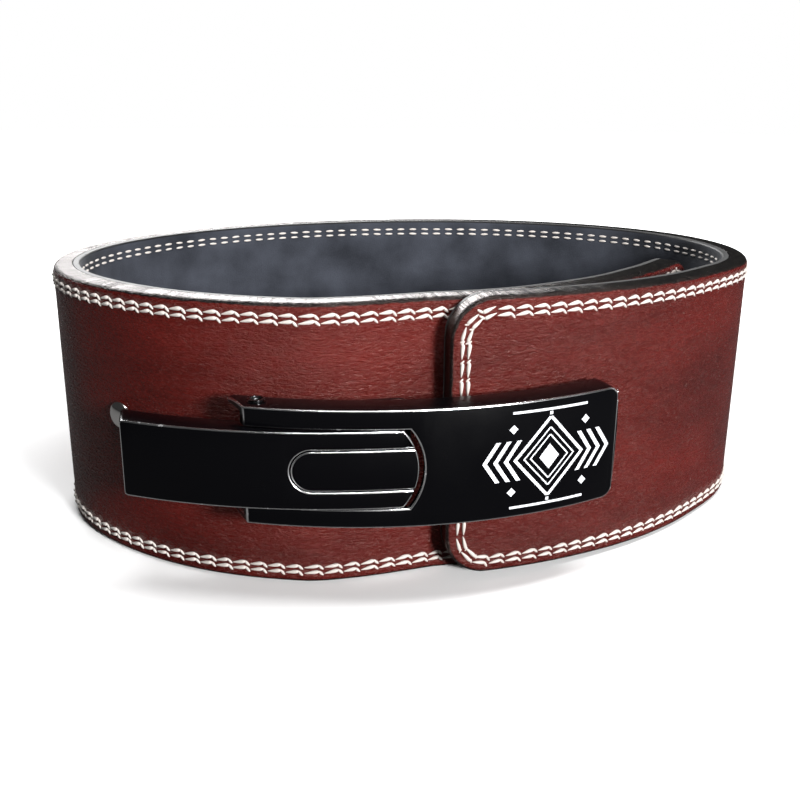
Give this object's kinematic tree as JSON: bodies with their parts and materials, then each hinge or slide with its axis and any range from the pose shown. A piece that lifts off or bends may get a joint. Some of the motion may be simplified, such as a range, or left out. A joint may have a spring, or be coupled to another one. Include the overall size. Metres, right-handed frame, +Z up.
{
  "type": "weightlifting belt",
  "caption": "Thick leather weightlifting belt in a closed loop, fastened in front by a steel over-centre lever whose hook plate grips the overlapping strap end.",
  "frame": {"origin": "bottom centre of the bounding box, on the surface that the belt stands on", "axes": "+X along the loop's width to the wearer's left as seen from the lever's side, +Y from the lever to the back, +Z up along the strap's width"},
  "size_m": [0.2842, 0.2214, 0.102],
  "materials": {
    "oxblood_leather": "smooth oxblood hide, semi-gloss, with black painted edges and white stitching",
    "slate_suede": "dark slate suede",
    "black_steel": "satin black coat with bright worn edges",
    "plain_steel": "plain turned steel",
    "white_thread": "thick waxed white thread",
    "gold_ink": "flat golden yellow print",
    "white_ink": "flat white print",
    "bright_nickel": "bright nickel plate"
  },
  "bodies": {
    "belt": {"strap_hide": "oxblood_leather", "strap_lining": "slate_suede", "lever_base": "black_steel", "base_screw_lower": "plain_steel", "base_screw_upper": "plain_steel", "hinge_pin": "black_steel", "side_rivet": "bright_nickel"},
    "handle": {"lever_handle": "black_steel", "link_pin": "black_steel"},
    "hook": {"hook_plate": "black_steel"}
  },
  "joints": [
    {"name": "handle_swing", "type": "hinge", "parent": "belt", "child": "handle", "pos_m": [-0.0304, -0.10259, 0.052], "axis": [0, 0, 1], "range_deg": [0, 150]},
    {"name": "hook_link", "type": "hinge", "parent": "handle", "child": "hook", "pos_m": [-0.0724, -0.09136, 0.052], "axis": [0, 0, 1], "range_deg": [-150, 0]}
  ],
  "couplings": [
    {"joint": "hook_link", "follows": "handle_swing", "ratio": -1}
  ]
}
